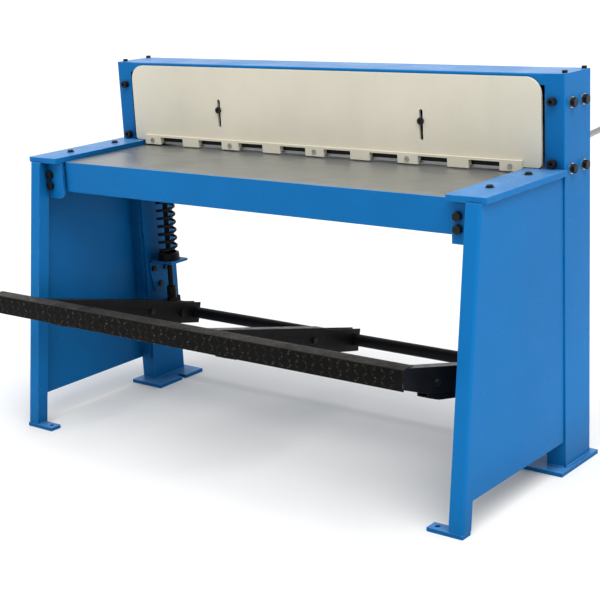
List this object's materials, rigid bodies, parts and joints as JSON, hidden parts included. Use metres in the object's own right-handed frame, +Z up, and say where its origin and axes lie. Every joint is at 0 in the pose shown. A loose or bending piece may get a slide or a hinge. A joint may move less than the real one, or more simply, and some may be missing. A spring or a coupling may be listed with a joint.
{
  "type": "foot operated squaring shear",
  "caption": "Treadle guillotine for sheet metal: a foot bar pulls a spring-returned blade beam past a table-edge blade, behind a hold-down plate with finger guard.",
  "frame": {"origin": "on the floor under the middle of the machine's overall box", "axes": "+X to the operator's right along the blade, +Y to the back, +Z up"},
  "size_m": [1.667, 1.158, 1.107],
  "materials": {
    "blue_paint": "satin gloss enamel",
    "beige_paint": "satin enamel",
    "black_paint": "semi-gloss enamel",
    "chequer_plate": "black enamel on raised-pattern plate",
    "ground_plate": "ground",
    "tool_steel": "ground",
    "machined_steel": "machined",
    "bright_rod": "bright drawn",
    "black_oxide": "black oxide",
    "zinc_plate": "zinc plated",
    "spring_steel": "black",
    "knob_plastic": "moulded"
  },
  "bodies": {
    "frame": {"side_frame_left": "blue_paint", "side_frame_right": "blue_paint", "rear_column_left": "blue_paint", "rear_column_right": "blue_paint", "front_feet": "blue_paint", "rear_feet": "blue_paint", "top_beam": "blue_paint", "table_plate": "ground_plate", "apron": "blue_paint", "table_ribs": "blue_paint", "table_cleats": "blue_paint", "bed_beam": "blue_paint", "lower_blade": "tool_steel", "lower_blade_screws": "black_oxide", "end_strip_left": "blue_paint", "end_strip_right": "blue_paint", "leg_brackets": "blue_paint", "spring_brackets": "blue_paint", "spring_seats": "black_paint", "pivot_bearings": "black_paint", "guide_rails": "machined_steel", "column_side_bolts": "black_oxide", "column_side_washers": "zinc_plate", "column_front_bolts": "black_oxide", "column_top_bolts": "black_oxide", "end_strip_bolts": "black_oxide", "leg_bracket_bolts": "black_oxide", "bracket_and_bearing_bolts": "black_oxide"},
    "blade_carriage": {"blade_beam": "blue_paint", "upper_blade": "tool_steel", "upper_blade_screws": "black_oxide", "slot_screws": "black_oxide", "link_rods": "black_paint", "rod_nuts": "black_oxide", "spring_caps": "black_paint", "rod_eyes": "black_paint", "link_pins": "black_oxide", "return_springs": "spring_steel", "gauge_rods": "bright_rod"},
    "hold_down": {"hold_down_plate": "beige_paint", "finger_guard": "beige_paint", "guard_screws": "zinc_plate", "clamp_bar": "black_oxide", "clamp_pad": "tool_steel", "guide_pins": "machined_steel", "hold_down_springs": "spring_steel"},
    "treadle": {"treadle_arm_left": "black_paint", "treadle_arm_middle": "black_paint", "treadle_arm_right": "black_paint", "arm_extensions": "black_paint", "treadle_bolts": "black_oxide", "foot_bar": "chequer_plate", "treadle_shaft": "black_paint", "shaft_collars": "black_paint"},
    "back_gauge": {"gauge_bar": "black_paint", "gauge_clamps": "black_paint"},
    "knob_left": {"gauge_knob_left": "knob_plastic"},
    "knob_right": {"gauge_knob_right": "knob_plastic"}
  },
  "joints": [
    {"name": "blade_slide", "type": "slide", "parent": "frame", "child": "blade_carriage", "axis": [0, 0, -1], "range_m": [0, 0.03], "stiffness_N_per_m": 60000, "springref_m": -0.08, "deforming": ["return_springs"]},
    {"name": "treadle_hinge", "type": "hinge", "parent": "frame", "child": "treadle", "pos_m": [0, 0.154, 0.234], "axis": [1, 0, 0], "range_deg": [0, 26]},
    {"name": "hold_down_slide", "type": "slide", "parent": "blade_carriage", "child": "hold_down", "axis": [0, 0, 1], "range_m": [0, 0.0268], "deforming": ["hold_down_springs"]},
    {"name": "gauge_slide", "type": "slide", "parent": "blade_carriage", "child": "back_gauge", "axis": [0, 0.9976, 0.0698], "range_m": [-0.11, 0.22]},
    {"name": "knob_left_turn", "type": "hinge", "parent": "back_gauge", "child": "knob_left", "pos_m": [-0.69, 0.285, 0.86965], "axis": [0, -0.0698, 0.9976], "continuous": true},
    {"name": "knob_right_turn", "type": "hinge", "parent": "back_gauge", "child": "knob_right", "pos_m": [0.69, 0.285, 0.86965], "axis": [0, -0.0698, 0.9976], "continuous": true}
  ],
  "couplings": [
    {"joint": "treadle_hinge", "follows": "blade_slide", "rad_per_m": 14.9},
    {"joint": "hold_down_slide", "follows": "blade_slide", "ratio": 0.885}
  ]
}
